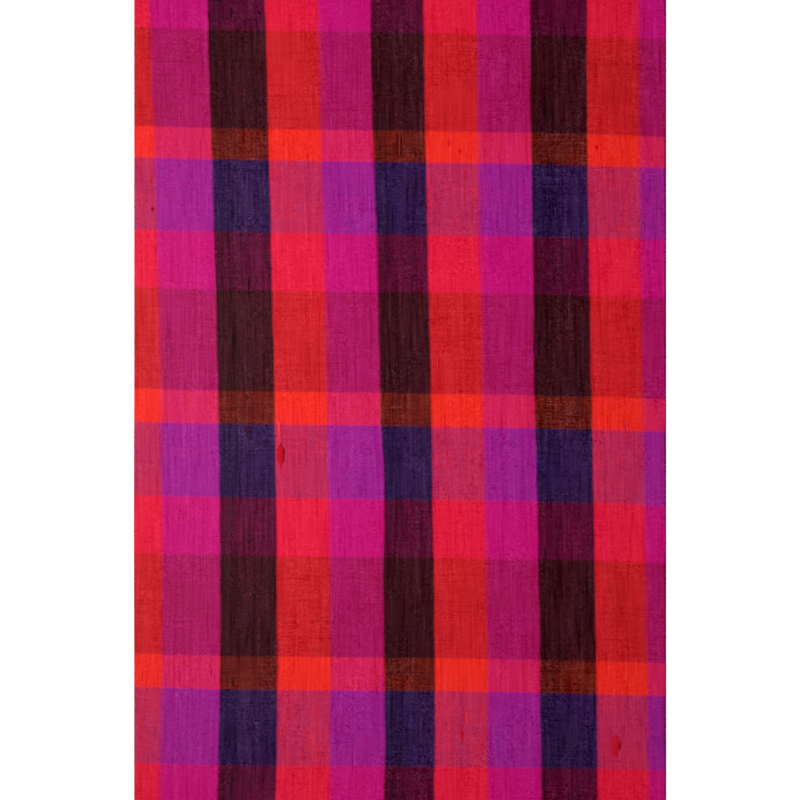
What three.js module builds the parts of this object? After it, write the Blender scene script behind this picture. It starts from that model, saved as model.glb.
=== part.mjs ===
// A cut length of checked silk shantung, lying flat with its right side up.
// Millimetres, +Z up. X runs across the stripes and Y along the slubbed yarns.
// The origin is the middle of the underside, and Z = 0 is the surface that the cloth lies on.

import * as THREE from "three";

// Driving dimensions
const STRIPE = 13.5; // one colour of the striped yarns, on average
const CLOTH_WIDTH = 133; // just under ten stripes
const CLOTH_LENGTH = 220;
const SHEET_THICKNESS = 1; // the cloth with its slubs, which stand proud of it

// Steps of the mesh: about two to a stripe, and closer near the cut edges, where the cloth stands off
const COLUMNS = Math.round((CLOTH_WIDTH / STRIPE) * 2.3);
const ROWS = Math.round((CLOTH_LENGTH / STRIPE) * 2.1);
const CLOSER_AT_EDGES = 0.55; // 0 is even spacing

// Where the crisp cut edge stands a little off the surface, between corners that lie flat: the highest point,
// which is on the edge, how far the rise reaches along X and Y, and its height
const RISES = [
  { side: "top edge", x: 22, y: 110, reachX: 34, reachY: 13, height: 1.3 },
  { side: "left edge", x: -66.5, y: -34, reachX: 13, reachY: 44, height: 0.6 },
  { side: "bottom edge", x: -18, y: -110, reachX: 36, reachY: 14, height: 1.5 },
];

// One rise falls away to the flat cloth with no crease at its top or its foot.
function riseAt(rise, x, y) {
  const away = Math.hypot((x - rise.x) / rise.reachX, (y - rise.y) / rise.reachY);
  if (away >= 1) return 0;
  return rise.height * (1 - away) ** 2 * (1 + 2 * away);
}

// How far the whole thickness of the cloth is lifted off the surface at a place
function liftAt(x, y) {
  return RISES.reduce((sum, rise) => sum + riseAt(rise, x, y), 0);
}

// Moves an even step along a side towards its nearer end, so that steps are closer there.
function drawnToEnds(place, side) {
  const turn = (2 * Math.PI * place) / side;
  return place + (CLOSER_AT_EDGES * side * Math.sin(turn)) / (2 * Math.PI);
}

// The cloth is one sheet of even thickness with plain cut edges.
function clothGeometry() {
  const sheet = new THREE.BoxGeometry(CLOTH_WIDTH, CLOTH_LENGTH, SHEET_THICKNESS, COLUMNS, ROWS, 1);
  sheet.translate(0, 0, SHEET_THICKNESS / 2);
  const points = sheet.getAttribute("position");
  for (let i = 0; i < points.count; i++) {
    const x = drawnToEnds(points.getX(i), CLOTH_WIDTH);
    const y = drawnToEnds(points.getY(i), CLOTH_LENGTH);
    points.setXYZ(i, x, y, points.getZ(i) + liftAt(x, y));
  }
  sheet.computeVertexNormals();
  return sheet;
}

const silk = new THREE.MeshStandardMaterial({ color: 0xb0203f, roughness: 0.55, metalness: 0 });

const cloth = new THREE.Mesh(clothGeometry(), silk);
cloth.name = "cloth";

const shantung = new THREE.Group();
shantung.add(cloth);

export default shantung;
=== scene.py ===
"""A cut length of checked silk shantung, lying flat with its right side up.

Uneven, slubbed yarns run up the cloth, along Y, and finer picks run across it, along X.
Metres, +Z up. The origin is the middle of the cloth's underside.
"""

import math
from typing import NamedTuple

import bmesh
import bpy
import numpy as np
from bpy.props import FloatProperty, FloatVectorProperty, IntProperty, PointerProperty
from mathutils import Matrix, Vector, noise


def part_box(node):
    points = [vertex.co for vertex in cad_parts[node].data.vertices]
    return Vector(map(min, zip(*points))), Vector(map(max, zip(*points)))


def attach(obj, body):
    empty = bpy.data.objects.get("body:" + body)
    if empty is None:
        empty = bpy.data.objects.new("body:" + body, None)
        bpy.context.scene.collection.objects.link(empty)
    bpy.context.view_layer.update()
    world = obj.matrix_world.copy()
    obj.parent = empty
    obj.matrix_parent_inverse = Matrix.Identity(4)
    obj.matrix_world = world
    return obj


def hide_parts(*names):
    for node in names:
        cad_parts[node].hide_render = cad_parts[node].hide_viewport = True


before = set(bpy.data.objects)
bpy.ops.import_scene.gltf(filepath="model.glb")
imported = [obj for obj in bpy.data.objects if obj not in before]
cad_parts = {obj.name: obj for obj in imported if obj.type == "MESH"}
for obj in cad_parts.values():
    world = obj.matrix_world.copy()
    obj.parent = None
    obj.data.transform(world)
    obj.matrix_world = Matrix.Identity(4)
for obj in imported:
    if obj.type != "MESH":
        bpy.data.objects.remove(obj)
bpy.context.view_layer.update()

bl_info = {
    "name": "Checked silk shantung",
    "version": (1, 0, 0),
    "blender": (4, 5, 0),
    "location": "3D View > Sidebar > Shantung",
    "description": "Weaves a cut length of checked silk shantung with its slubs and cut ends",
    "category": "Object",
}

MM = 0.001
RIM_WIDTH = 0.35 * MM  # the strip along a cut edge where the last yarns flatten
RIM_THICKNESS = 0.4  # of the cloth's own thickness, at the very edge
CLOTH_NODE = "cloth"
BODY = "root"
SHEET_NAME = "silk_shantung"
SLUBS_NAME = "slubs"
ENDS_NAME = "cut_ends"
YARNS = "yarns"  # where a point lies in the weave: 0 to 1 across the cloth, and 0 to 1 up it
SETT_GROUP = "Sett"
WEAVE_GROUP = "Plain weave"
UNEVEN_GROUP = "Uneven yarns"
LOOSE_SILK = "Loose silk"
EYE_GAMMA = 2.2  # dyes mix, and marks add up, in colours of this gamma, which is nearly how the eye sees

LOW_CORNER, HIGH_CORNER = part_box(CLOTH_NODE)
CLOTH_WIDTH = HIGH_CORNER.x - LOW_CORNER.x
CLOTH_LENGTH = HIGH_CORNER.y - LOW_CORNER.y

# The sett, as a weaver counts it: the yarns of each stripe from the left edge, and the picks of
# each band from the top edge
STRIPES = (
    ("red", 13), ("magenta", 29), ("jet", 9), ("black", 19),
    ("red", 26), ("magenta", 27), ("jet", 10), ("black", 15),
    ("red", 27), ("magenta", 26), ("jet", 11), ("black", 17),
    ("red", 26), ("magenta", 11),
)
BANDS = (
    ("blue", 8),
    ("crimson", 32), ("brown", 53), ("orange", 17), ("blue", 40),
    ("crimson", 31), ("brown", 55), ("orange", 18), ("blue", 40),
    ("crimson", 32), ("brown", 55), ("orange", 18), ("blue", 41),
    ("crimson", 32), ("brown", 8),
)
# How many yarns each dye bleeds where two stripes or bands meet
BLEED = {"red": 1.4, "magenta": 1.4, "jet": 0.7, "black": 0.7,
         "crimson": 0.8, "brown": 0.8, "orange": 0.6, "blue": 0.6}
YARN_COUNT = sum(count for dye, count in STRIPES)
PICK_COUNT = sum(count for dye, count in BANDS)
YARN_PITCH = CLOTH_WIDTH / YARN_COUNT
PICK_PITCH = CLOTH_LENGTH / PICK_COUNT

# How the weave drifts off square on a handloom, in millimetres: one row for each term, with the
# powers of x / half the width and of y / 100 mm that it grows with. Plus is to the right or up.
DRIFT_UNIT_X = CLOTH_WIDTH / 2
DRIFT_UNIT_Y = 100 * MM
STRIPE_DRIFT = (
    {"x": 0, "y": 1, "size": -1.95},
    {"x": 0, "y": 2, "size": -0.55},
    {"x": 0, "y": 3, "size": 0.55},
    {"x": 1, "y": 2, "size": 1.1},
    {"x": 2, "y": 1, "size": 0.2},
    {"x": 2, "y": 2, "size": -0.2},
)
BAND_DRIFT = (
    {"x": 1, "y": 0, "size": -0.75},
    {"x": 2, "y": 0, "size": -0.15},
    {"x": 3, "y": 0, "size": -0.65},
    {"x": 1, "y": 2, "size": 0.1},
    {"x": 1, "y": 3, "size": -0.4},
)

# Where the yarns and the picks crowd: the number of one, counted as in the sett, and how far it lies
# from its even place, in millimetres to the right or up
CROWDED_YARNS = ((0, 0.0), (13, 0.25), (42, -0.05), (70, 0.27), (96, 0.33), (123, 0.0), (148, 0.27),
                 (175, -0.15), (201, -0.15), (229, 0.0), (255, -0.3), (266, 0.0))
CROWDED_PICKS = ((0, 0.0), (40, 0.2), (93, -0.1), (110, -0.1), (150, 0.15), (181, -0.1), (236, -0.2),
                 (254, -0.1), (294, -0.15), (326, 0.05), (381, 0.1), (399, 0.1), (440, 0.05), (480, 0.0))

# Where a few yarns are pulled aside: the middle of each place, how far it reaches each way, and how
# far the yarns lie to the right, all in millimetres
PULLS = (
    {"x": -7, "y": 78, "reach_x": 8, "reach_y": 50, "aside": -0.5},
    {"x": -4.5, "y": -22, "reach_x": 7, "reach_y": 22, "aside": 0.65},
    {"x": -3.7, "y": -84, "reach_x": 7, "reach_y": 28, "aside": 0.4},
    {"x": 34, "y": 4, "reach_x": 8, "reach_y": 28, "aside": -0.45},
)

# Where the crisp cut edge stands a little off the surface, as on the solid: the middle of each rise,
# how far it reaches each way, and its height, all in millimetres
RISES = (
    {"x": 22, "y": 110, "reach_x": 34, "reach_y": 13, "height": 1.3},
    {"x": -66.5, "y": -34, "reach_x": 13, "reach_y": 44, "height": 0.6},
    {"x": -18, "y": -110, "reach_x": 36, "reach_y": 14, "height": 1.5},
)

# Neighbouring yarns wander together in waves of two sizes: how long each wave is across the yarns and
# along them, in millimetres, its share of the wander, and its layer of the noise
WANDER_WAVES = (
    {"across": 9, "along": 42, "share": 1.0, "layer": 0.0},
    {"across": 4, "along": 16, "share": 0.45, "layer": 5.3},
)
PICK_WANDER = 0.3  # of the slubbed yarns' wander, because the picks are beaten straight
CROWD_LENGTH = 24 * MM  # how far along a yarn its crowding changes
NOISE_STEP = 1.37  # how far apart neighbouring yarns read their noise, so that each has its own
YARN_WANDER_LAYER, PICK_WANDER_LAYER, CROWD_LAYER = 1.7, 8.1, 3.3


class Slub(NamedTuple):
    """A large slub, in millimetres: its middle, its length along the yarn, and its width and height."""

    x: float
    y: float
    length: float
    width: float
    height: float
    glint: float  # how much lighter it is than its own dyes
    share: float = 0.92  # how much of the slubbed yarn's dye is in it
    lies: str = "up"  # along a slubbed yarn, or "across", along a pick
    gap: float = 0.0  # how far it parts its neighbours, in millimetres; the gap is filled with painted shadow
    dyed: tuple = ()  # where its dyes come from, if not from where it lies


LARGE_SLUBS = (
    Slub(-29.9, -15.0, 7.8, 1.4, 0.2, glint=-0.09, share=0.86, gap=0.6),
    Slub(-30.2, -8.4, 8.0, 0.6, 0.12, glint=0.03),
    Slub(53.9, -87.4, 8.0, 1.8, 0.2, glint=-0.06, share=0.86, gap=0.6),
    Slub(16.8, -80.6, 6.0, 0.5, 0.1, glint=0.0),
    Slub(15.5, -84.4, 6.0, 0.85, 0.07, glint=-0.07, share=0.82),
    Slub(-29.7, -83.4, 4.3, 0.8, 0.14, glint=-0.02),
    Slub(-4.3, -72.6, 8.0, 0.7, 0.12, glint=-0.03, share=0.78),
    Slub(-38.3, 0.4, 2.2, 0.8, 0.12, glint=-0.05, share=0.74),
    Slub(-38.2, -8.0, 3.8, 1.3, 0.1, glint=0.0, share=0.82, dyed=(-38.2, 34.0)),
    Slub(34.0, 11.6, 8.6, 1.3, 0.1, glint=-0.03, share=0.7, dyed=(36.0, 34.0)),
    Slub(36.4, 0.2, 15.0, 0.45, 0.1, glint=-0.04, share=0.78),
    Slub(-0.6, 63.0, 9.2, 0.45, 0.05, glint=-0.1, share=0.7),
    Slub(-0.1, 63.2, 7.6, 0.28, 0.08, glint=0.05, share=0.65),
    Slub(0.35, 62.5, 8.0, 0.4, 0.05, glint=-0.1, share=0.7),
    Slub(-61.1, 34.4, 18.5, 0.4, 0.08, glint=-0.04),
    Slub(-42.3, 96.4, 4.2, 0.7, 0.12, glint=-0.05, share=0.78),
    Slub(-35.2, 96.6, 1.5, 0.8, 0.12, glint=-0.05, share=0.78),
    Slub(-37.8, 26.9, 8.8, 0.5, 0.1, glint=-0.05, share=0.78),
    Slub(-20.4, 17.4, 15.0, 0.4, 0.08, glint=-0.03),
    Slub(-61.9, 47.5, 1.7, 0.75, 0.1, glint=-0.12, share=0.6),
    Slub(14.9, 61.8, 1.9, 0.85, 0.1, glint=-0.07),
    Slub(12.1, 64.0, 1.8, 0.8, 0.1, glint=-0.07),
    Slub(49.1, 63.0, 1.7, 0.8, 0.1, glint=-0.08),
    Slub(21.2, 42.9, 3.6, 0.4, 0.08, glint=0.0, share=0.5, lies="across"),
    Slub(10.0, 43.4, 5.0, 0.3, 0.06, glint=0.02, share=0.5, lies="across"),
    Slub(1.6, -90.6, 3.6, 0.35, 0.06, glint=0.02, share=0.5, lies="across"),
)
# The gap round a large slub: a flat slub under it, longer and wider, darker by a painted shadow and set off
# away from the light
SHADOW_GAP_LENGTH = 1.12  # of the slub's own length
SHADOW_GAP_HEIGHT = 0.07 * MM
SHADOW_GAP_SHADE = 0.05
SHADOW_GAP_ASIDE = 0.1  # of the slub's width, to the side away from the light

# Loose strands on a large slub, one for each pitch of its width. Where two numbers are given, chance
# picks between them. A strand's length and height, and how far it may lie from the slub's middle, are
# shares of the slub's own sizes.
STRAND_PITCH = 0.4 * MM
STRAND_ASIDE = 0.36
STRAND_FORWARD = 0.2
STRAND_LENGTH = (0.3, 0.75)
STRAND_WIDTH = (0.22, 0.34)  # in millimetres
STRAND_HEIGHT = 0.25
# How much lighter or darker each strand is than its slub: painted glints and shade, and its own tone
STRAND_GLINT = 0.05
SLUB_CROWN = 0.36  # how high the slub's back rises at its middle, which the strands lie on

# Small slubs, in millimetres where they are lengths
SMALL_LENGTH = (2.0, 8.0)
SMALL_WIDTH = (0.3, 0.5)
SMALL_GLINT = (-0.035, 0.025)
SMALL_HEIGHT = 0.2  # of the width
SMALL_SHARE = 0.78
ENDS_FREE = 4 * MM  # no small slub is centred so near a cut end,
SIDES_FREE = 1 * MM  # or so near a cut side

# The fibres that stand out of each cut yarn. Where two numbers are given, chance picks between them.
FIBRES = 2  # to a yarn
FIBRE_JITTER = (0.2, 0.8)  # of the way along the bit of edge that each has
FIBRE_HEIGHT = (0.6, 1.3)  # of half the thickness of the cut edge
FIBRE_WIDTH = (0.08, 0.17)  # in millimetres
FIBRE_LEAN = (0.28, 0.28, 0.2)  # of the length, along each axis, for most of them
FIBRE_GLINT = 0.04
FIBRE_LENGTH = (0.2, 1.0)  # of the longest, before the power below
FEW_LONG = 2.2  # the power that makes most fibres short
STEEPEST_FALL = 0.5  # of the way down to the surface, over a fibre's length
YARN_FIBRES, PICK_FIBRES = 1.6, 0.25  # the longest ones of each kind, as shares of the longest end


def length_setting(name, description, default, least=0.0, most=1.0):
    """A length that can be set, given in millimetres."""
    return FloatProperty(name=name, description=description, default=default * MM, min=least * MM,
                         max=most * MM, subtype="DISTANCE", unit="LENGTH", precision=5)


def share_setting(name, description, default, precision=2):
    """A share from 0 to 1 that can be set."""
    return FloatProperty(name=name, description=description, default=default, min=0, max=1,
                         subtype="FACTOR", precision=precision)


def dye_setting(name, description, default):
    """A dye that can be set."""
    return FloatVectorProperty(name=name, description=description, default=default, size=3, min=0,
                               max=1, subtype="COLOR")


class ShantungCloth(bpy.types.PropertyGroup):
    """Sizes of the woven sheet."""

    core: length_setting("Thinnest place", "Cloth left between two yarns", 0.14, least=0.02)
    relief: length_setting("Yarn relief", "How far a yarn stands proud on each face", 0.05)
    unevenness: share_setting("Unevenness", "How much a slubbed yarn swells and thins", 0.75)
    swell_length: length_setting("Swell length", "Length of a swelling along its yarn", 7, 1, 50)
    crowding: length_setting("Crowding", "How far yarns shift towards their neighbours", 0.05)
    wander: length_setting("Wander", "How far a group of yarns wanders from straight", 0.14, most=2)
    row_step: length_setting("Mesh step", "Length of the mesh's steps along the yarns", 2.75, 0.5, 20)


class ShantungDyes(bpy.types.PropertyGroup):
    """Dyed silk, as it shows in a solid area of one yarn."""

    red: dye_setting("Red yarn", "First slubbed yarn", (0.536, 0.0127, 0.0214))
    magenta: dye_setting("Magenta yarn", "Second slubbed yarn", (0.338, 0.0058, 0.133))
    jet: dye_setting("Jet yarn", "Third slubbed yarn, from a deeper dye bath", (0.0046, 0.002, 0.0056))
    black: dye_setting("Black yarn", "Third slubbed yarn", (0.0088, 0.0034, 0.0093))
    crimson: dye_setting("Crimson pick", "First crossing yarn", (0.34, 0.0003, 0.047))
    brown: dye_setting("Brown pick", "Second crossing yarn", (0.1, 0.0014, 0.0011))
    orange: dye_setting("Orange pick", "Third crossing yarn", (0.523, 0.0164, 0.0001))
    blue: dye_setting("Blue pick", "Fourth crossing yarn", (0.0516, 0.0112, 0.164))


class ShantungFinish(bpy.types.PropertyGroup):
    """How the silk takes the light."""

    cover: share_setting("Cover", "Share of the face that the slubbed yarns cover", 0.68)
    crossing: share_setting("Crossing contrast", "How far the two dyes part where yarns cross", 0.035, 3)
    openness: share_setting("Openness", "How much more of the picks shows in some places", 0.05)
    # Streaks, dashes and flecks are painted glints and shade in the colour, with the yarns' own uneven tone.
    streaks: share_setting("Streaks", "Glint and shade along a slubbed yarn", 0.018, 3)
    dashes: share_setting("Dashes", "Glint and shade along a pick, as a share of the dyes' contrast", 0.09)
    flecks: share_setting("Flecks", "Small glints and gaps", 0.021, 3)
    # Painted shade: the cut edge is darkened in the colour, where the edge's roll would shade it.
    rim_shade: share_setting("Rim shade", "How much darker the cut edge is", 0.1)
    roughness: share_setting("Roughness", "How matt the silk is", 0.42)
    bump: share_setting("Weave bump", "Strength of the weave's relief", 0.1)


class ShantungSlubs(bpy.types.PropertyGroup):
    """Slubs and loose ends."""

    count: IntProperty(name="Small slubs", description="How many small slubs lie on the cloth",
                       default=150, min=0, max=1000)
    seed: IntProperty(name="Seed", description="Changes what chance decides for slubs and ends",
                      default=7, min=0)
    longest_end: length_setting("Longest loose end", "Yarn that stands out past the cut edge", 0.42,
                                most=5)


class ShantungStage(bpy.types.PropertyGroup):
    """Floor, lights and camera."""

    key_power: FloatProperty(name="Key light", description="Soft light beside the cloth", default=2.74,
                             min=0, subtype="POWER", unit="POWER")
    fill: FloatProperty(name="Fill", description="Brightness of the pale room", default=0.17, min=0)
    floor_tone: share_setting("Floor", "How pale the floor is", 0.93)


def nearness(x, y, place):
    """1 at the middle of a place, falling smoothly to 0 at its reach."""
    away = math.hypot((x - place["x"] * MM) / (place["reach_x"] * MM),
                      (y - place["y"] * MM) / (place["reach_y"] * MM))
    return 0.0 if away >= 1 else (1 - away) ** 2 * (1 + 2 * away)


def lift_at(x, y):
    """How far the cloth stands off the surface at a place, in metres."""
    return sum(rise["height"] * MM * nearness(x, y, rise) for rise in RISES)


def pull_at(x, y):
    """How far the yarns are pulled aside at a place, in metres."""
    return sum(pull["aside"] * MM * nearness(x, y, pull) for pull in PULLS)


def crowding_at(number, table):
    """How far a yarn or a pick lies from its even place, in metres."""
    numbers, shifts = zip(*table)
    return float(np.interp(number, numbers, shifts)) * MM


def crowding_of(u, v):
    """How far the yarn and the pick at a point of the loom's even grid lie from it, in metres."""
    return (crowding_at((u + CLOTH_WIDTH / 2) / YARN_PITCH, CROWDED_YARNS),
            crowding_at((CLOTH_LENGTH / 2 - v) / PICK_PITCH, CROWDED_PICKS))


def drift_at(x, y, terms):
    """How far the weave has drifted at a place, in metres."""
    across, up = x / DRIFT_UNIT_X, y / DRIFT_UNIT_Y
    return sum(term["size"] * MM * across ** term["x"] * up ** term["y"] for term in terms)


def wander_at(x, y, size, layer):
    """How far neighbouring yarns wander together at a place, in metres."""
    total = 0.0
    for wave in WANDER_WAVES:
        place = Vector((x / (wave["across"] * MM), y / (wave["along"] * MM), layer + wave["layer"]))
        total += wave["share"] * noise.noise(place)
    return size * total


def woven_to_flat(u, v, cloth):
    """Where a point of the loom's square grid comes to lie on the cloth."""
    x, y = u, v
    aside, up = crowding_of(u, v)
    for settling in range(2):
        yarn_wander = wander_at(x, y, cloth.wander, YARN_WANDER_LAYER)
        pick_wander = PICK_WANDER * wander_at(y, x, cloth.wander, PICK_WANDER_LAYER)
        x, y = (u + aside + drift_at(x, y, STRIPE_DRIFT) + pull_at(x, y) + yarn_wander,
                v + up + drift_at(x, y, BAND_DRIFT) + pick_wander)
    quarter_yarn = 0.25  # so that both columns of a yarn get its number
    yarn = math.floor(u / YARN_PITCH + quarter_yarn)
    crowd = noise.noise(Vector((yarn * NOISE_STEP, v / CROWD_LENGTH, CROWD_LAYER)))
    return x + cloth.crowding * 2 * crowd, y


def yarn_place(u, v):
    """A point of the loom's grid as shares of the width and the length."""
    return u / CLOTH_WIDTH + 0.5, v / CLOTH_LENGTH + 0.5


def flat_to_woven(x, y):
    """The point of the loom's grid that lies at a place on the cloth."""
    u, v = x - drift_at(x, y, STRIPE_DRIFT) - pull_at(x, y), y - drift_at(x, y, BAND_DRIFT)
    aside, up = crowding_of(u, v)
    return u - aside, v - up


def feed(tree, socket, value):
    """Links a socket to another one, or sets its value."""
    if isinstance(value, bpy.types.NodeSocket):
        tree.links.new(value, socket)
    else:
        socket.default_value = value


def add(tree, kind, settings=None, **inputs):
    """Adds a node, with its settings, and feeds the inputs that are named."""
    node = tree.nodes.new(kind)
    for name, value in (settings or {}).items():
        setattr(node, name, value)
    for name, value in inputs.items():
        feed(tree, node.inputs[name.replace("_", " ")], value)
    return node


def maths(tree, operation, *values, clamp=False):
    """Adds a Math node and returns its result."""
    node = add(tree, "ShaderNodeMath", {"operation": operation, "use_clamp": clamp})
    for socket, value in zip(node.inputs, values):
        feed(tree, socket, value)
    return node.outputs[0]


def mix_colours(tree, factor, first, second):
    """Adds a colour mix and returns its result. Its sockets for colours come after those for numbers."""
    node = add(tree, "ShaderNodeMix", {"data_type": "RGBA"})
    for socket, value in zip((node.inputs[0], node.inputs[6], node.inputs[7]), (factor, first, second)):
        feed(tree, socket, value)
    return node.outputs[2]


def vector_maths(tree, operation, first, second):
    """Adds a Vector Math node that takes two vectors, and returns its result."""
    node = add(tree, "ShaderNodeVectorMath", {"operation": operation})
    feed(tree, node.inputs[0], first)
    feed(tree, node.inputs[1], second)
    return node.outputs[0]


def brightened(tree, colour, glint):
    """A colour as the eye sees it, with light added to all of it alike, made a plain colour again."""
    darkest = (0.01, 0.01, 0.01)
    grey = add(tree, "ShaderNodeCombineXYZ", X=glint, Y=glint, Z=glint)
    lit = vector_maths(tree, "MAXIMUM", vector_maths(tree, "ADD", colour, grey.outputs[0]), darkest)
    return add(tree, "ShaderNodeGamma", Color=lit, Gamma=EYE_GAMMA).outputs[0]


def lightness(tree, colour):
    """How light a colour is."""
    return add(tree, "ShaderNodeRGBToBW", Color=colour).outputs[0]


def smooth_noise(tree, across, along, layer, detail=1.0):
    """Smooth noise about 0.5, read at a place counted in its own wavelengths."""
    place = add(tree, "ShaderNodeCombineXYZ", X=across, Y=along, Z=layer)
    node = add(tree, "ShaderNodeTexNoise", {"noise_dimensions": "3D"}, Scale=1.0, Detail=detail,
               Vector=place.outputs[0])
    return node.outputs[0]


def spread(tree, value, low, high):
    """Stretches the middle of a noise so that low becomes 0 and high becomes 1."""
    node = add(tree, "ShaderNodeMapRange")
    for socket, number in zip(node.inputs, (value, low, high, 0.0, 1.0)):
        feed(tree, socket, number)
    return node.outputs[0]


def arrange(tree):
    """Sets a tree's nodes out in columns, each to the right of what feeds it."""
    column_width, row_height = 220, 180
    depth = {node: 0 for node in tree.nodes}
    for sweep in range(len(tree.nodes)):
        moved = False
        for link in tree.links:
            if depth[link.to_node] <= depth[link.from_node]:
                depth[link.to_node] = depth[link.from_node] + 1
                moved = True
        if not moved:
            break
    filled = {}
    for node in tree.nodes:
        row = filled.get(depth[node], 0)
        filled[depth[node]] = row + 1
        node.location = (column_width * depth[node], -row_height * row)


def new_group(name, kind, inputs, outputs):
    """An empty node group with its sockets, given by name and kind, and its two end nodes."""
    tree = bpy.data.node_groups.new(name, kind)
    for in_out, sockets in (("INPUT", inputs), ("OUTPUT", outputs)):
        for label, socket_kind in sockets.items():
            tree.interface.new_socket(label, in_out=in_out, socket_type="NodeSocket" + socket_kind)
    return tree, tree.nodes.new("NodeGroupInput").outputs, tree.nodes.new("NodeGroupOutput").inputs


def thick_and_thin(tree, yarn, along):
    """How a slubbed yarn swells and thins, from 0 to 1. along is counted in swell lengths."""
    noise_step, layer = 3.71, 0.5
    thinnest, thickest = 0.3, 0.72
    body = smooth_noise(tree, maths(tree, "MULTIPLY", yarn, noise_step), along, layer, detail=2.0)
    return spread(tree, body, thinnest, thickest)


def sett_group():
    """Picks the two dyes that cross at a place in the weave, with the bleed where stripes meet."""
    inputs = {"Across": "Float", "Up": "Float", **dict.fromkeys(BLEED, "Color")}
    outputs = {"Slubbed yarn dye": "Color", "Pick dye": "Color"}
    tree, given, result = new_group(SETT_GROUP, "ShaderNodeTree", inputs, outputs)
    for counted, table, label in (("Across", STRIPES, "Slubbed yarn dye"), ("Up", BANDS, "Pick dye")):
        last, passed = table[0]
        dye = given[last]
        for name, count in table[1:]:
            reach = min(BLEED[last], BLEED[name])
            past = spread(tree, given[counted], passed - reach, passed + reach)
            dye = mix_colours(tree, past, dye, given[name])
            last = name
            passed += count
        feed(tree, result[label], dye)
    arrange(tree)
    return tree


def weave_group():
    """Plain weave: which yarn lies on top at a place, and how high the face stands there."""
    wave_depth = 0.32  # how far a yarn rises and dips as it crosses others, beside its own roundness
    pick_drop = 0.16  # how much lower the picks lie than the slubbed yarns
    sharpness = 1.6  # how sharply one yarn gives way to the other
    outputs = dict.fromkeys(("Yarn", "Up", "Across", "Yarn on top", "Height"), "Float")
    tree, given, result = new_group(WEAVE_GROUP, "ShaderNodeTree", {"Place": "Vector"}, outputs)

    def swayed(place, per_yarn, per_pick, layer, detail):
        """A place moved by up to half a yarn or pick, with so many waves to a yarn and to a pick."""
        sway = smooth_noise(tree, maths(tree, "MULTIPLY", even_across, per_yarn),
                            maths(tree, "MULTIPLY", even_up, per_pick), layer, detail=detail)
        return maths(tree, "ADD", sway, maths(tree, "SUBTRACT", place, 0.5))

    def rounded(place, number):
        """How round a yarn stands at a place: 1 along its middle and 0 at its sides."""
        aside = maths(tree, "SUBTRACT", place, maths(tree, "ADD", number, 0.5))
        return maths(tree, "COSINE", maths(tree, "MULTIPLY", aside, math.pi))

    def crossed(place, number):
        """How a yarn goes over and under those that it crosses: 1 over, and -1 under."""
        return maths(tree, "SINE", maths(tree, "MULTIPLY", maths(tree, "ADD", place, number), math.pi))

    place = add(tree, "ShaderNodeSeparateXYZ", Vector=given["Place"])
    even_across = maths(tree, "MULTIPLY", place.outputs["X"], float(YARN_COUNT))
    even_up = maths(tree, "MULTIPLY", maths(tree, "SUBTRACT", 1.0, place.outputs["Y"]),
                    float(PICK_COUNT))
    across = swayed(even_across, per_yarn=0.3, per_pick=0.09, layer=3.5, detail=2.0)
    up = swayed(even_up, per_yarn=0.02, per_pick=0.25, layer=2.5, detail=1.0)
    yarn, pick = maths(tree, "FLOOR", across), maths(tree, "FLOOR", up)
    yarn_height = maths(tree, "MULTIPLY_ADD", crossed(up, yarn), wave_depth, rounded(across, yarn))
    pick_height = maths(tree, "MULTIPLY_ADD", crossed(across, pick), -wave_depth, rounded(up, pick))
    lower_pick = maths(tree, "SUBTRACT", pick_height, pick_drop)
    ahead = maths(tree, "SUBTRACT", yarn_height, lower_pick)
    found = {"Yarn": yarn, "Up": up, "Across": across,
             "Yarn on top": maths(tree, "MULTIPLY_ADD", ahead, sharpness, 0.5, clamp=True),
             "Height": maths(tree, "MAXIMUM", yarn_height, lower_pick)}
    for label, value in found.items():
        feed(tree, result[label], value)
    arrange(tree)
    return tree


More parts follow.
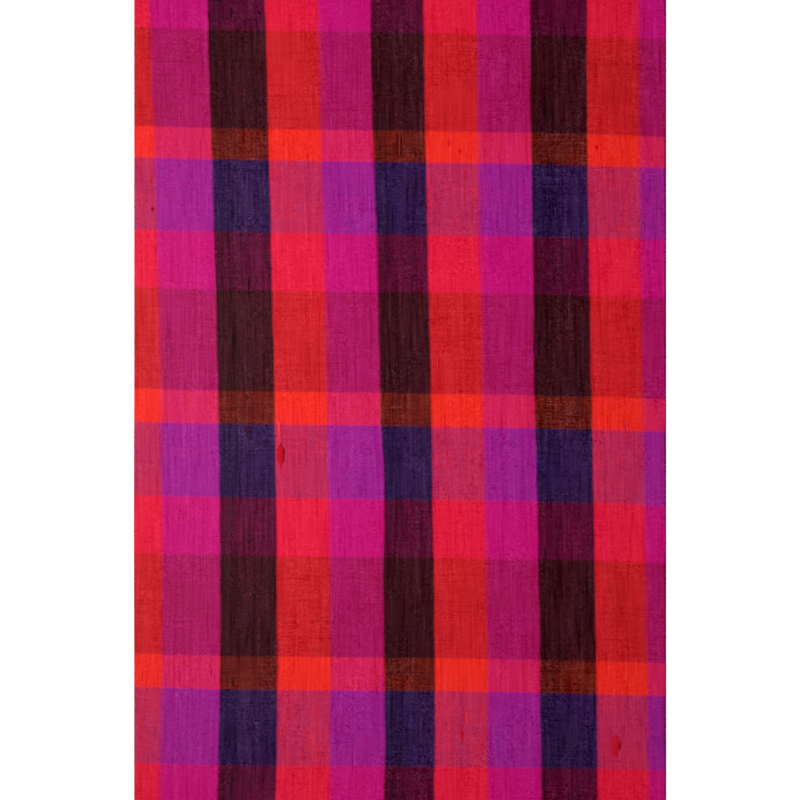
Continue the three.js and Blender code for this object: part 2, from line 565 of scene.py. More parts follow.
def unevenness_group(swell_picks):
    """How uneven yarns look: swellings, streaks along yarns, dashes along picks, flecks, open places."""
    inputs = dict.fromkeys(("Yarn", "Up", "Across"), "Float")
    outputs = dict.fromkeys(("Swelling", "Streak", "Dash", "Fleck", "Open"), "Float")
    tree, given, result = new_group(UNEVEN_GROUP, "ShaderNodeTree", inputs, outputs)
    yarn, up, across = (given[label] for label in inputs)

    def ripple(per_yarn, per_pick, layer):
        """Noise about 0 and mostly within 1, with so many waves to a yarn and to a pick."""
        value = smooth_noise(tree, maths(tree, "MULTIPLY", across, per_yarn),
                             maths(tree, "MULTIPLY", up, per_pick), layer)
        return maths(tree, "MULTIPLY", maths(tree, "SUBTRACT", value, 0.5), 4.0)

    def sparse(value):
        """Draws small values in towards 0, so that few marks stand out, and dark ones more than light."""
        dark_more, small_kept = -0.3, 0.45
        kept = maths(tree, "ADD", maths(tree, "ABSOLUTE", value), small_kept)
        return maths(tree, "MULTIPLY", value, maths(tree, "MULTIPLY_ADD", value, dark_more, kept))

    def blend(first, share, rest):
        """A share of one ripple on top of the rest."""
        return maths(tree, "MULTIPLY_ADD", first, share, rest)

    swelling = thick_and_thin(tree, yarn, maths(tree, "MULTIPLY", up, -1.0 / swell_picks))
    streak = blend(ripple(0.3, 0.03, layer=6.5), 0.4, sparse(ripple(0.8, 0.045, layer=4.5)))
    patches = blend(ripple(0.07, 0.06, layer=9.5), 0.75, 1.0)
    dash = maths(tree, "MULTIPLY", sparse(ripple(0.09, 1.25, layer=8.5)), patches)
    fleck = maths(tree, "MULTIPLY", sparse(ripple(0.95, 0.9, layer=11.5)), patches)
    wide = maths(tree, "MULTIPLY", ripple(0.1, 0.075, layer=15.5), 0.6)
    longer = blend(ripple(0.11, 0.018, layer=13.5), 0.8, wide)
    open_places = blend(ripple(0.025, 0.75, layer=17.5), 0.6, longer)
    for label, value in zip(outputs, (swelling, streak, dash, fleck, open_places)):
        feed(tree, result[label], value)
    arrange(tree)
    return tree


def use_group(tree, group, **inputs):
    """Places a node group in a material and feeds the inputs that are named."""
    return add(tree, "ShaderNodeGroup", {"node_tree": group}, **inputs)


def new_material(name):
    """An empty material, its tree and its Principled shader."""
    material = bpy.data.materials.new(name)
    material.use_nodes = True
    tree = material.node_tree
    shader = tree.nodes["Principled BSDF"]
    return material, tree, shader


def set_silk_gloss(shader):
    """Silk's own gloss, the same all over a piece."""
    shader.inputs["Specular IOR Level"].default_value = 0.05
    shader.inputs["Specular Tint"].default_value = (1.0, 0.6, 0.66, 1.0)
    shader.inputs["Sheen Weight"].default_value = 0.01
    shader.inputs["Sheen Roughness"].default_value = 0.35
    shader.inputs["Sheen Tint"].default_value = (1.0, 0.82, 0.86, 1.0)


def dyes_in(tree, groups, weave, dyes):
    """The two dyes at a place, with each dye as the eye sees it."""
    sett = use_group(tree, groups["sett"], Across=weave.outputs["Across"], Up=weave.outputs["Up"])
    for socket in sett.inputs[2:]:
        socket.default_value = (*getattr(dyes, socket.name), 1.0)
    return [add(tree, "ShaderNodeGamma", Color=dye, Gamma=1 / EYE_GAMMA).outputs[0]
            for dye in sett.outputs]


def add_bump(tree, shader, height, strength, distance):
    """Gives a shader the small relief of a height."""
    bump = add(tree, "ShaderNodeBump", Strength=strength, Distance=distance, Height=height)
    feed(tree, shader.inputs["Normal"], bump.outputs[0])


def mixed_dyes(tree, finish, weave, uneven, yarn_dye, pick_dye):
    """The colour of the weave: mostly the slubbed yarn's, and more of the pick's where that shows."""
    usual_top = 0.6  # how far the slubbed yarn is on top where the cover is just the finish's own
    swelling_cover = 0.08  # how much more a thick place covers than a thin one
    on_top = maths(tree, "SUBTRACT", weave.outputs["Yarn on top"], usual_top)
    cover = maths(tree, "MULTIPLY_ADD", on_top, finish.crossing * 2, finish.cover)
    cover = maths(tree, "MULTIPLY_ADD", uneven.outputs["Open"], -finish.openness, cover)
    swelling = maths(tree, "SUBTRACT", uneven.outputs["Swelling"], 0.5)
    cover = maths(tree, "MULTIPLY_ADD", swelling, swelling_cover, cover)
    return mix_colours(tree, cover, pick_dye, yarn_dye)


def weave_marks(tree, finish, uneven, yarn_dye, pick_dye):
    """How much lighter or darker than its dyes a place is, from streaks, dashes and flecks: painted glints
    and shade, and the yarns' own uneven tone.
    """
    on_black, lost_with_light = 1.82, -3.0  # marks show most on black yarns
    alike, by_contrast = 1.05, 0.7  # flecks show more where the two dyes are less alike
    yarn_light = lightness(tree, yarn_dye)
    contrast = maths(tree, "ABSOLUTE", maths(tree, "SUBTRACT", yarn_light, lightness(tree, pick_dye)))
    strength = maths(tree, "MULTIPLY_ADD", yarn_light, lost_with_light, on_black)
    parting = maths(tree, "MULTIPLY_ADD", contrast, by_contrast, alike)
    dashes = maths(tree, "MULTIPLY", uneven.outputs["Dash"], contrast)
    flecks = maths(tree, "MULTIPLY", uneven.outputs["Fleck"], parting)
    marks = maths(tree, "MULTIPLY", dashes, finish.dashes)
    marks = maths(tree, "MULTIPLY_ADD", flecks, finish.flecks, marks)
    marks = maths(tree, "MULTIPLY_ADD", uneven.outputs["Streak"], finish.streaks, marks)
    return maths(tree, "MULTIPLY", marks, strength)


def cloth_material(groups, scene):
    """Woven silk: two dyes that show through each other, uneven yarns with painted glints and shade, and the
    relief of the weave.
    """
    crown_gloss = 0.08  # how much smoother a yarn's crown is than the gaps
    usual_height = 0.75  # where the gloss is just the finish's own
    bump_height = 0.09 * MM
    finish = scene.shantung_finish
    material, tree, shader = new_material("Woven silk")
    place = add(tree, "ShaderNodeUVMap", {"uv_map": YARNS})
    weave = use_group(tree, groups["weave"], Place=place.outputs[0])
    uneven = use_group(tree, groups["uneven"], Yarn=weave.outputs["Yarn"], Up=weave.outputs["Up"],
                       Across=weave.outputs["Across"])
    yarn_dye, pick_dye = dyes_in(tree, groups, weave, scene.shantung_dyes)
    dyed = mixed_dyes(tree, finish, weave, uneven, yarn_dye, pick_dye)
    marks = weave_marks(tree, finish, uneven, yarn_dye, pick_dye)
    # Painted shade along the cut edges, added to the marks' painted glints and shade.
    rim = add(tree, "ShaderNodeAttribute", {"attribute_name": "rim"})
    glint = maths(tree, "MULTIPLY_ADD", rim.outputs["Fac"], -finish.rim_shade, marks)
    feed(tree, shader.inputs["Base Color"], brightened(tree, dyed, glint))
    feed(tree, shader.inputs["Roughness"],
         maths(tree, "MULTIPLY_ADD", weave.outputs["Height"], -crown_gloss,
               finish.roughness + crown_gloss * usual_height))
    add_bump(tree, shader, weave.outputs["Height"], finish.bump, bump_height)
    set_silk_gloss(shader)
    arrange(tree)
    return material


def loose_material(groups, scene):
    """Silk that lies on the weave or past its cut edge: one dye, with its fibres."""
    fibre_waves = (5200.0, 900.0, 5200.0)  # to the metre, so that fibres are long along the slubbed yarns
    # Painted glints along the fibres: a streaky noise makes the colour lighter and darker
    fibre_glint, fibre_dullness = 0.14, 0.2
    looser = 0.12  # how much duller loose silk is than silk in the weave
    bump_strength, bump_height = 0.4, 0.06 * MM
    finish = scene.shantung_finish
    material, tree, shader = new_material(LOOSE_SILK)
    place = add(tree, "ShaderNodeAttribute", {"attribute_name": YARNS})
    kind = add(tree, "ShaderNodeAttribute", {"attribute_name": "kind"})
    parts = add(tree, "ShaderNodeSeparateXYZ", Vector=kind.outputs["Vector"])
    weave = use_group(tree, groups["weave"], Place=place.outputs["Vector"])
    yarn_dye, pick_dye = dyes_in(tree, groups, weave, scene.shantung_dyes)
    dyed = mix_colours(tree, parts.outputs["X"], pick_dye, yarn_dye)
    where = add(tree, "ShaderNodeTexCoord")
    stretched = add(tree, "ShaderNodeMapping", {"vector_type": "POINT"},
                    Vector=where.outputs["Object"], Scale=fibre_waves)
    fibre = add(tree, "ShaderNodeTexNoise", {"noise_dimensions": "3D"}, Scale=1.0, Detail=2.0,
                Vector=stretched.outputs[0]).outputs[0]
    glint = maths(tree, "MULTIPLY_ADD", maths(tree, "SUBTRACT", fibre, 0.5), fibre_glint,
                  parts.outputs["Y"])
    feed(tree, shader.inputs["Base Color"], brightened(tree, dyed, glint))
    feed(tree, shader.inputs["Roughness"],
         maths(tree, "MULTIPLY_ADD", fibre, fibre_dullness, finish.roughness + looser))
    add_bump(tree, shader, fibre, bump_strength, bump_height)
    set_silk_gloss(shader)
    arrange(tree)
    return material


def shader_groups(scene):
    """The shader node groups, built once."""
    groups = bpy.data.node_groups
    if SETT_GROUP not in groups:
        sett_group()
        weave_group()
        unevenness_group(scene.shantung_cloth.swell_length / PICK_PITCH)
    return {"sett": groups[SETT_GROUP], "weave": groups[WEAVE_GROUP], "uneven": groups[UNEVEN_GROUP]}


def mesh_data(name, mesh):
    """Turns an edited mesh into the data of a named one, and frees it."""
    data = bpy.data.meshes.new(name)
    mesh.to_mesh(data)
    mesh.free()
    return data


def link_mesh(name, mesh):
    """Puts a mesh in the scene as an object at the origin."""
    made = bpy.data.objects.new(name, mesh)
    bpy.context.scene.collection.objects.link(made)
    return made


def run_nodes(made, tree, inputs, spent):
    """Runs a geometry tree on an object, leaves the result as its plain mesh and drops spent attributes."""
    modifier = made.modifiers.new(tree.name, "NODES")
    modifier.node_group = tree
    sockets = {item.name: item.identifier for item in tree.interface.items_tree
               if item.in_out == "INPUT"}
    for label, value in inputs.items():
        modifier[sockets[label]] = value
    graph = bpy.context.evaluated_depsgraph_get()
    result = bpy.data.meshes.new_from_object(made.evaluated_get(graph), depsgraph=graph)
    made.modifiers.remove(modifier)
    made.data = result
    result.name = made.name
    for label in spent:
        result.attributes.remove(result.attributes[label])


def belongs(made, material):
    """Gives a finished piece its material slot and its place on the cloth's body."""
    if not made.data.materials:
        made.data.materials.append(material)
    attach(made, BODY)


def loom_grid(cloth):
    """The middle surface of the cloth, with two columns to a slubbed yarn, cut square at its edges."""
    spare_yarns, spare_rows = 10, 2
    columns = 2 * (YARN_COUNT + 2 * spare_yarns)
    rows = round(CLOTH_LENGTH / cloth.row_step)
    step = CLOTH_LENGTH / rows
    rows += 2 * spare_rows
    first_u = -CLOTH_WIDTH / 2 - spare_yarns * YARN_PITCH
    first_v = -CLOTH_LENGTH / 2 - spare_rows * step
    mesh = bmesh.new()
    woven = mesh.verts.layers.float_vector.new("woven")
    lines = []
    for row in range(rows + 1):
        v = first_v + row * step
        line = []
        for column in range(columns + 1):
            u = first_u + column * YARN_PITCH / 2
            point = mesh.verts.new((*woven_to_flat(u, v, cloth), 0))
            point[woven] = (*yarn_place(u, v), 0)
            line.append(point)
        lines.append(line)
    for below, above in zip(lines, lines[1:]):
        for left in range(columns):
            mesh.faces.new((below[left], below[left + 1], above[left + 1], above[left]))
    for side in (Vector((1, 0, 0)), Vector((0, 1, 0)), Vector((-1, 0, 0)), Vector((0, -1, 0))):
        half = CLOTH_WIDTH / 2 if side.x else CLOTH_LENGTH / 2
        for inwards in (RIM_WIDTH, 0.0):
            bmesh.ops.bisect_plane(
                mesh, geom=mesh.verts[:] + mesh.edges[:] + mesh.faces[:],
                plane_co=side * (half - inwards), plane_no=side, dist=1e-6, clear_outer=not inwards)
    return mesh


def rim_share(x, y):
    """1 on a cut edge, falling to 0 at the rim's width inside it."""
    inwards = min(CLOTH_WIDTH / 2 - abs(x), CLOTH_LENGTH / 2 - abs(y))
    return max(0.0, 1 - inwards / RIM_WIDTH)


def two_faces(mesh):
    """Gives the surface an underside and a narrow wall along its cut edges."""
    side = mesh.verts.layers.float.new("side")
    top = list(mesh.verts)
    rim = [edge for edge in mesh.edges if edge.is_boundary]
    rim_ends = []
    for edge in rim:
        loop = edge.link_loops[0]
        rim_ends.append((loop.vert, loop.link_loop_next.vert))
    copied = bmesh.ops.duplicate(mesh, geom=mesh.verts[:] + mesh.edges[:] + mesh.faces[:])
    under = {vert: copied["vert_map"][vert] for vert in top}
    for vert in top:
        share = 1 - (1 - RIM_THICKNESS) * rim_share(vert.co.x, vert.co.y)
        vert[side] = share
        under[vert][side] = -share
    bmesh.ops.reverse_faces(mesh, faces=[item for item in copied["geom"]
                                         if isinstance(item, bmesh.types.BMFace)])
    for face in mesh.faces:
        face.smooth = True
    for start, end in rim_ends:
        wall = mesh.faces.new((end, start, under[start], under[end]))
        wall.smooth = False


def relief_tree():
    """Geometry nodes that give both faces of the sheet the relief of uneven yarns."""
    inputs = {"Geometry": "Geometry", "Yarns": "Float", "Swells": "Float", "Core": "Float",
              "Relief": "Float", "Unevenness": "Float", "Silk": "Material"}
    tree, given, result = new_group("Yarn relief", "GeometryNodeTree", inputs, {"Geometry": "Geometry"})
    woven = add(tree, "GeometryNodeInputNamedAttribute", {"data_type": "FLOAT_VECTOR"}, Name="woven")
    side = add(tree, "GeometryNodeInputNamedAttribute", {"data_type": "FLOAT"}, Name="side")
    place = add(tree, "ShaderNodeSeparateXYZ", Vector=woven.outputs[0])
    across = maths(tree, "MULTIPLY", place.outputs["X"], given["Yarns"])
    yarn = maths(tree, "FLOOR", across)
    up = maths(tree, "MULTIPLY", maths(tree, "SUBTRACT", place.outputs["Y"], 1.0), given["Swells"])
    swelling = thick_and_thin(tree, yarn, up)
    middle = maths(tree, "SUBTRACT", across, maths(tree, "ADD", yarn, 0.5))
    arch = maths(tree, "COSINE", maths(tree, "MULTIPLY", middle, math.pi))
    about_zero = maths(tree, "MULTIPLY_ADD", swelling, 2.0, -1.0)
    swell = maths(tree, "MULTIPLY_ADD", about_zero, given["Unevenness"], 1.0)
    height = maths(tree, "MULTIPLY_ADD", maths(tree, "MULTIPLY", arch, swell), given["Relief"],
                   given["Core"])
    offset = add(tree, "ShaderNodeCombineXYZ", Z=maths(tree, "MULTIPLY", height, side.outputs[0]))
    raised = add(tree, "GeometryNodeSetPosition", Geometry=given["Geometry"], Offset=offset.outputs[0])
    real = add(tree, "GeometryNodeRealizeInstances", Geometry=raised.outputs[0])
    dressed = add(tree, "GeometryNodeSetMaterial", Geometry=real.outputs[0], Material=given["Silk"])
    feed(tree, result["Geometry"], dressed.outputs[0])
    arrange(tree)
    return tree


def middle_height(cloth):
    """How high the middle of the cloth lies where it is flat."""
    return cloth.core + cloth.relief * (1 + cloth.unevenness)


class SHANTUNG_OT_weave(bpy.types.Operator):
    """Weaves the sheet, with a ridge for each slubbed yarn"""

    bl_idname = "shantung.weave"
    bl_label = "Weave the cloth"

    def execute(self, context):
        cloth = context.scene.shantung_cloth
        material = cloth_material(shader_groups(context.scene), context.scene)
        mesh = loom_grid(cloth)
        two_faces(mesh)
        woven = mesh.verts.layers.float_vector["woven"]
        places = mesh.loops.layers.uv.new(YARNS)
        side = mesh.verts.layers.float["side"]
        rim = mesh.verts.layers.float.new("rim")
        for vert in mesh.verts:
            vert.co.z = middle_height(cloth) * abs(vert[side]) + lift_at(vert.co.x, vert.co.y)
            vert[rim] = rim_share(vert.co.x, vert.co.y)
        for face in mesh.faces:
            for loop in face.loops:
                loop[places].uv = loop.vert[woven].xy
        made = link_mesh(SHEET_NAME, mesh_data(SHEET_NAME, mesh))
        run_nodes(made, relief_tree(), {
            "Yarns": float(YARN_COUNT), "Swells": CLOTH_LENGTH / cloth.swell_length,
            "Core": cloth.core, "Relief": cloth.relief, "Unevenness": cloth.unevenness,
            "Silk": material}, spent=("woven", "side"))
        belongs(made, material)
        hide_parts(CLOTH_NODE)
        return {"FINISHED"}


def close_tip(mesh, hoops, tip):
    """Joins hoops of points into a smooth tube that ends in a tip past the last hoop."""
    sides = len(hoops[0])
    for side in range(sides):
        after = (side + 1) % sides
        mesh.faces.new((tip, hoops[-1][after], hoops[-1][side]))
        for lower, upper in zip(hoops, hoops[1:]):
            mesh.faces.new((lower[side], upper[side], upper[after], lower[after]))
    for face in mesh.faces:
        face.smooth = True


def spindle(name, sides, rings):
    """A flattened bundle of fibres, one long and one across, widest in its upper half, lying along Y."""
    fullest = 1.7  # the power that moves the widest place up from the middle
    taper = 1.2  # the power that draws its ends in
    knot_wave, knot_size = 17, 0.13  # thicker and thinner rings, in a wave of so many radians
    twist, twist_size = 9, 0.12  # its broad sides turn round it on the way up
    thinning = 0.6  # the power that thins it towards its sides
    mesh = bmesh.new()
    tail = mesh.verts.new((0, -0.5, 0))
    tip = mesh.verts.new((0, 0.5, 0))
    hoops = []
    for ring in range(1, rings):
        share = ring / rings
        swell = math.sin(math.pi * share ** fullest) ** taper * (1 + knot_size * math.sin(knot_wave * share))
        hoop = []
        for side in range(sides):
            turn = 2 * math.pi * side / sides
            radius = 0.5 * swell * (1 + twist_size * math.cos(2 * turn + twist * share))
            rise = math.sin(turn) * abs(math.sin(turn)) ** thinning
            hoop.append(mesh.verts.new((radius * math.cos(turn), share - 0.5, radius * rise)))
        hoops.append(hoop)
    for side, point in enumerate(hoops[0]):
        mesh.faces.new((tail, point, hoops[0][(side + 1) % sides]))
    close_tip(mesh, hoops, tip)
    return bpy.data.objects.new(name, mesh_data(name, mesh))


def loose_tree(name):
    """Geometry nodes that set a shape at each point, by the point's own size and direction."""
    inputs = {"Geometry": "Geometry", "Shape": "Object", "Bends": "Float", "Bend length": "Float",
              "Seed": "Float", "Silk": "Material"}
    tree, given, result = new_group(name, "GeometryNodeTree", inputs, {"Geometry": "Geometry"})
    points = add(tree, "GeometryNodeMeshToPoints", Mesh=given["Geometry"])
    shape = add(tree, "GeometryNodeObjectInfo", Object=given["Shape"])
    points_along, size = (
        add(tree, "GeometryNodeInputNamedAttribute", {"data_type": "FLOAT_VECTOR"}, Name=label)
        for label in ("points_along", "size"))
    turned = add(tree, "FunctionNodeAlignRotationToVector", {"axis": "Y"},
                 Vector=points_along.outputs[0])
    placed = add(tree, "GeometryNodeInstanceOnPoints", Points=points.outputs[0],
                 Instance=shape.outputs["Geometry"], Rotation=turned.outputs[0], Scale=size.outputs[0])
    real = add(tree, "GeometryNodeRealizeInstances", Geometry=placed.outputs[0])
    where = add(tree, "GeometryNodeInputPosition")
    counted = add(tree, "ShaderNodeVectorMath", {"operation": "SCALE"}, Vector=where.outputs[0],
                  Scale=maths(tree, "DIVIDE", 1.0, given["Bend length"]))
    wave = add(tree, "ShaderNodeTexNoise", {"noise_dimensions": "4D"}, Vector=counted.outputs[0],
               W=given["Seed"], Scale=1.0, Detail=1.0)
    centred = vector_maths(tree, "SUBTRACT", wave.outputs[1], (0.5, 0.5, 0.5))
    shift = add(tree, "ShaderNodeVectorMath", {"operation": "SCALE"}, Vector=centred,
                Scale=given["Bends"])
    bent = add(tree, "GeometryNodeSetPosition", Geometry=real.outputs[0], Offset=shift.outputs[0])
    dressed = add(tree, "GeometryNodeSetMaterial", Geometry=bent.outputs[0], Material=given["Silk"])
    feed(tree, result["Geometry"], dressed.outputs[0])
    arrange(tree)
    return tree


def points_mesh(name, rows):
    """Loose points that carry where they lie in the weave, their direction, size and kind."""
    data = bpy.data.meshes.new(name)
    data.from_pydata([row["at"] for row in rows], [], [])
    for label in (YARNS, "points_along", "size", "kind"):
        layer = data.attributes.new(label, "FLOAT_VECTOR", "POINT")
        layer.data.foreach_set("vector", np.array([row[label] for row in rows], np.float32).ravel())
    return link_mesh(name, data)


def run_direction(x, y, lies):
    """The way the yarns run at a place: the slubbed ones if lies is "up", and the picks if "across"."""
    step = 2 * MM
    step_x, step_y, terms = (0, step, STRIPE_DRIFT) if lies == "up" else (step, 0, BAND_DRIFT)
    ahead, back = (x + step_x, y + step_y), (x - step_x, y - step_y)
    tilt = (drift_at(*ahead, terms) - drift_at(*back, terms)) / (2 * step)
    rise = (lift_at(*ahead) - lift_at(*back)) / (2 * step)
    return Vector((tilt, 1, rise) if lies == "up" else (1, tilt, rise)).normalized()


def slub_row(x, y, length, width, height, glint, lies, share, cloth, dyed_at=None, raised=0.0):
    """One slub, half sunk into the face of the cloth. dyed_at is where its dyes come from."""
    sunk = 0.9  # of a yarn's relief
    face = 2 * middle_height(cloth) - cloth.relief * sunk
    return {"at": (x, y, face + raised + lift_at(x, y)),
            YARNS: (*yarn_place(*flat_to_woven(*(dyed_at or (x, y)))), 0),
            "points_along": run_direction(x, y, lies), "size": (width, length, height),
            "kind": (share, glint, 0)}


def placed_slubs(cloth, slubs):
    """The largest slubs, where the cloth has them, each with loose strands of fibre on it."""
    chance = np.random.default_rng(slubs.seed + 2)
    rows = []
    for slub in LARGE_SLUBS:
        x, y, length, width, height = (value * MM for value in slub[:5])
        dyed_at = tuple(place * MM for place in slub.dyed or (slub.x, slub.y))
        alike = {"lies": slub.lies, "share": slub.share, "cloth": cloth, "dyed_at": dyed_at}
        # Painted shadow: a flat, darker slub beneath the large one, off to the side away from the light
        if slub.gap:
            rows.append(slub_row(x + SHADOW_GAP_ASIDE * width, y, length * SHADOW_GAP_LENGTH, width + slub.gap * MM,
                                 SHADOW_GAP_HEIGHT, slub.glint - SHADOW_GAP_SHADE, **alike))
        rows.append(slub_row(x, y, length, width, height, slub.glint, **alike))
        strands = round(width / STRAND_PITCH) if slub.lies == "up" else 0
        for strand in range(strands):
            aside = chance.uniform(-STRAND_ASIDE, STRAND_ASIDE) * width
            forward = chance.uniform(-STRAND_FORWARD, STRAND_FORWARD) * length
            strand_length = length * chance.uniform(*STRAND_LENGTH)
            strand_width = chance.uniform(*STRAND_WIDTH) * MM
            glint = slub.glint + chance.uniform(-STRAND_GLINT, STRAND_GLINT)
            raised = height * SLUB_CROWN * (1 - (2 * aside / width) ** 2)
            rows.append(slub_row(x + aside, y + forward, strand_length, strand_width,
                                 height * STRAND_HEIGHT, glint, raised=raised, **alike))
    return rows


def scattered_slubs(cloth, slubs):
    """Small slubs, each lying along a yarn of its own."""
    chance = np.random.default_rng(slubs.seed)
    rows = []
    for number in range(slubs.count):
        yarn = int(chance.integers(YARN_COUNT))
        u = (yarn + 0.5) * YARN_PITCH - CLOTH_WIDTH / 2
        v = chance.uniform(-0.5, 0.5) * (CLOTH_LENGTH - 2 * ENDS_FREE)
        x, y = woven_to_flat(u, v, cloth)
        length = chance.uniform(*SMALL_LENGTH) * MM
        width = chance.uniform(*SMALL_WIDTH) * MM
        glint = chance.uniform(*SMALL_GLINT)
        if abs(x) < CLOTH_WIDTH / 2 - SIDES_FREE:
            rows.append(slub_row(x, y, length, width, width * SMALL_HEIGHT, glint, "up", SMALL_SHARE,
                                 cloth))
    return rows


class SHANTUNG_OT_slubs(bpy.types.Operator):
    """Lays the slubs, large ones from a list and small ones by chance"""

    bl_idname = "shantung.slubs"
    bl_label = "Lay the slubs"

    def execute(self, context):
        scene = context.scene
        cloth, slubs = scene.shantung_cloth, scene.shantung_slubs
        material = loose_material(shader_groups(scene), scene)
        made = points_mesh(SLUBS_NAME, placed_slubs(cloth, slubs) + scattered_slubs(cloth, slubs))
        shape = spindle("slub_shape", sides=10, rings=14)
        run_nodes(made, loose_tree("Slubs on yarns"), {
            "Shape": shape, "Bends": 0.3 * MM, "Bend length": 1.5 * MM, "Seed": float(slubs.seed),
            "Silk": material}, spent=("points_along", "size"))
        bpy.data.objects.remove(shape)
        belongs(made, material)
        return {"FINISHED"}


def loose_end(name):
    """One short yarn end along Y, from inside the cut edge out to a point."""
    sides = 4
    rings = ((-0.25, 0.5), (0.45, 0.42), (0.8, 0.24))  # how far out each ring lies, and its radius
    mesh = bmesh.new()
    hoops = []
    for out, radius in rings:
        turns = [2 * math.pi * side / sides for side in range(sides)]
        hoops.append([mesh.verts.new((radius * math.cos(turn), out, radius * math.sin(turn)))
                      for turn in turns])
    tip = mesh.verts.new((0, 1, 0))
    mesh.faces.new(hoops[0])
    close_tip(mesh, hoops, tip)
    return bpy.data.objects.new(name, mesh_data(name, mesh))


def end_row(x, y, outwards, kind, chance, cloth, longest):
    """One fibre of a cut yarn, standing out past the edge. kind is 1 for a slubbed yarn, 0 for a pick."""
    height = middle_height(cloth) * RIM_THICKNESS * chance.uniform(*FIBRE_HEIGHT) + lift_at(x, y)
    length = longest * chance.uniform(*FIBRE_LENGTH) ** FEW_LONG
    width = chance.uniform(*FIBRE_WIDTH) * MM
    lean = Vector([chance.normal(0, amount) for amount in FIBRE_LEAN])
    lean.z = max(lean.z, -STEEPEST_FALL * height / length)
    return {"at": (x, y, height), YARNS: (*yarn_place(*flat_to_woven(x, y)), 0),
            "points_along": (Vector(outwards) + lean).normalized(), "size": (width, length, width),
            "kind": (kind, chance.uniform(-FIBRE_GLINT, FIBRE_GLINT), 0)}


def cut_yarn_ends(cloth, slubs):
    """The fibres of every yarn along the four cut edges."""
    chance = np.random.default_rng(slubs.seed + 1)
    rows = []

    def places(yarns, edge):
        """Where the fibres of so many yarns stand along an edge, from its middle."""
        for number in range(yarns * FIBRES):
            yield ((number + chance.uniform(*FIBRE_JITTER)) / (yarns * FIBRES) - 0.5) * edge

    for side in (-1, 1):
        for x in places(YARN_COUNT, CLOTH_WIDTH):
            rows.append(end_row(x, side * CLOTH_LENGTH / 2, (0, side, 0), 1.0, chance, cloth,
                                slubs.longest_end * YARN_FIBRES))
        for y in places(PICK_COUNT, CLOTH_LENGTH):
            rows.append(end_row(side * CLOTH_WIDTH / 2, y, (side, 0, 0), 0.0, chance, cloth,
                                slubs.longest_end * PICK_FIBRES))
    return rows


class SHANTUNG_OT_cut_ends(bpy.types.Operator):
    """Lets the cut yarns' fibres stand out past the edges"""

    bl_idname = "shantung.cut_ends"
    bl_label = "Fray the cut edges"

    def execute(self, context):
        scene = context.scene
        cloth, slubs = scene.shantung_cloth, scene.shantung_slubs
        made = points_mesh(ENDS_NAME, cut_yarn_ends(cloth, slubs))
        shape = loose_end("end_shape")
        material = bpy.data.materials[LOOSE_SILK]
        run_nodes(made, loose_tree("Ends at the cut"), {
            "Shape": shape, "Bends": 0.08 * MM, "Bend length": 0.4 * MM,
            "Seed": float(slubs.seed) + 0.5, "Silk": material}, spent=("points_along", "size"))
        bpy.data.objects.remove(shape)
        belongs(made, material)
        return {"FINISHED"}


class SHANTUNG_OT_stage(bpy.types.Operator):
    """Sets up the pale floor, the soft light beside the cloth and the camera above it"""

    bl_idname = "shantung.stage"
    bl_label = "Set the stage"

    def execute(self, context):
        scene = context.scene
        stage = scene.shantung_stage
        add_floor(stage)
        add_key_light(stage)
        add_room(scene, stage)
        add_camera(scene)
        scene.view_settings.view_transform = "Standard"
        return {"FINISHED"}


def add_floor(stage):
    """A plain pale floor, with its top at the height that the cloth lies on."""
    side, depth = 6.0, 0.02
    mesh = bmesh.new()
    bmesh.ops.create_cube(mesh, size=1)
    for vert in mesh.verts:
        vert.co = (vert.co.x * side, vert.co.y * side, (vert.co.z - 0.5) * depth)
    floor = link_mesh("floor", mesh_data("floor", mesh))
    material, tree, shader = new_material("Pale floor")
    shader.inputs["Base Color"].default_value = (*[stage.floor_tone] * 3, 1)
    shader.inputs["Roughness"].default_value = 0.9
    shader.inputs["Specular IOR Level"].default_value = 0.1
    floor.data.materials.append(material)


def add_key_light(stage):
    """A square soft light at the cloth's left, feathered across it."""
    lamp_side = 0.2
    lamp_place = (-0.16, 0.0, 0.277)
    facing = Vector((1.0, 0.155, -0.19))
    light = bpy.data.lights.new("key_light", "AREA")
    light.shape = "SQUARE"
    light.size = lamp_side
    light.energy = stage.key_power
    made = bpy.data.objects.new("key_light", light)
    made.location = lamp_place
    made.rotation_euler = facing.to_track_quat("-Z", "Y").to_euler()
    made.visible_camera = False
    bpy.context.scene.collection.objects.link(made)


def add_room(scene, stage):
    """A pale room all round."""
    world = bpy.data.worlds.new("pale_room")
    world.use_nodes = True
    background = world.node_tree.nodes["Background"]
    background.inputs["Color"].default_value = (1, 1, 1, 1)
    background.inputs["Strength"].default_value = stage.fill
    scene.world = world


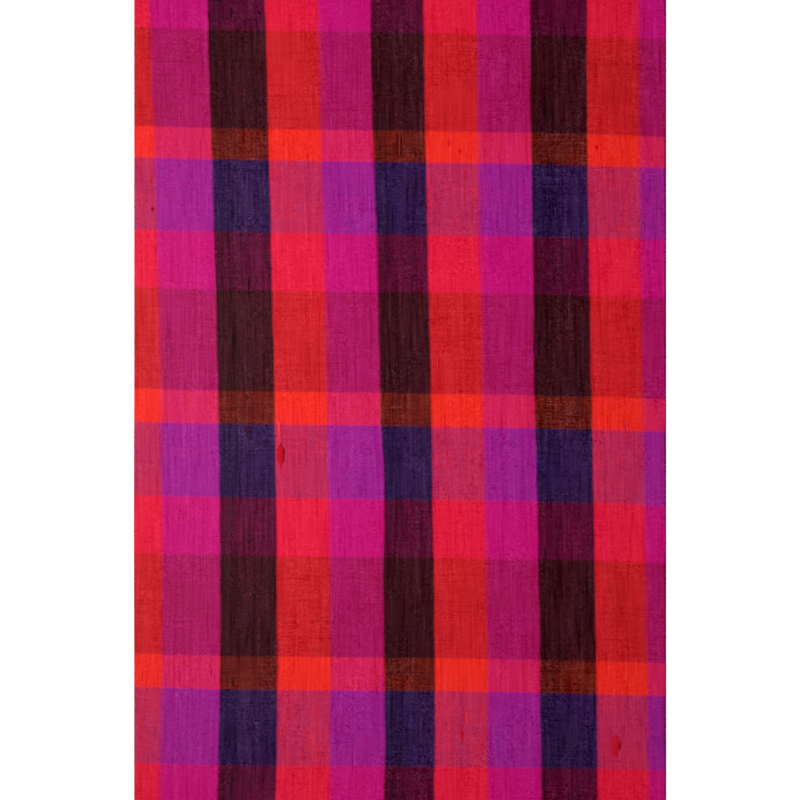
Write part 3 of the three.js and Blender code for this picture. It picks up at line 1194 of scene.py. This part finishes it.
def add_camera(scene):
    """A camera straight above the cloth, with 200 mm of it in the frame."""
    seen_width = 200 * MM
    face_height = 0.5 * MM  # of the cloth, nearly
    camera = bpy.data.cameras.new("camera")
    camera.lens = 100
    camera.sensor_width = 36
    camera.clip_start = 0.01
    camera.clip_end = 100
    made = bpy.data.objects.new("camera", camera)
    above = seen_width * camera.lens / camera.sensor_width
    made.location = (0, 0, above + face_height)
    scene.collection.objects.link(made)
    scene.camera = made


class SHANTUNG_PT_panel(bpy.types.Panel):
    """Lists the steps that make the cloth, with the sizes and colours of each"""

    bl_idname = "SHANTUNG_PT_panel"
    bl_label = "Checked silk shantung"
    bl_space_type = "VIEW_3D"
    bl_region_type = "UI"
    bl_category = "Shantung"

    def draw(self, context):
        for prefix, operator in STEPS:
            box = self.layout.box()
            for name in prefix:
                group = getattr(context.scene, name)
                for field in group.bl_rna.properties:
                    if field.identifier not in ("rna_type", "name"):
                        box.prop(group, field.identifier)
            box.operator(operator)


STEPS = (
    (("shantung_cloth", "shantung_dyes", "shantung_finish"), "shantung.weave"),
    (("shantung_slubs",), "shantung.slubs"),
    ((), "shantung.cut_ends"),
    (("shantung_stage",), "shantung.stage"),
)
SETTINGS = {
    "shantung_cloth": ShantungCloth,
    "shantung_dyes": ShantungDyes,
    "shantung_finish": ShantungFinish,
    "shantung_slubs": ShantungSlubs,
    "shantung_stage": ShantungStage,
}
CLASSES = (*SETTINGS.values(), SHANTUNG_OT_weave, SHANTUNG_OT_slubs, SHANTUNG_OT_cut_ends,
           SHANTUNG_OT_stage, SHANTUNG_PT_panel)


def register():
    for kind in CLASSES:
        bpy.utils.register_class(kind)
    for name, kind in SETTINGS.items():
        setattr(bpy.types.Scene, name, PointerProperty(type=kind))


def unregister():
    for name in SETTINGS:
        delattr(bpy.types.Scene, name)
    for kind in reversed(CLASSES):
        bpy.utils.unregister_class(kind)


def main():
    register()
    bpy.ops.shantung.weave()
    bpy.ops.shantung.slubs()
    bpy.ops.shantung.cut_ends()
    bpy.ops.shantung.stage()


if __name__ == "__main__":
    main()
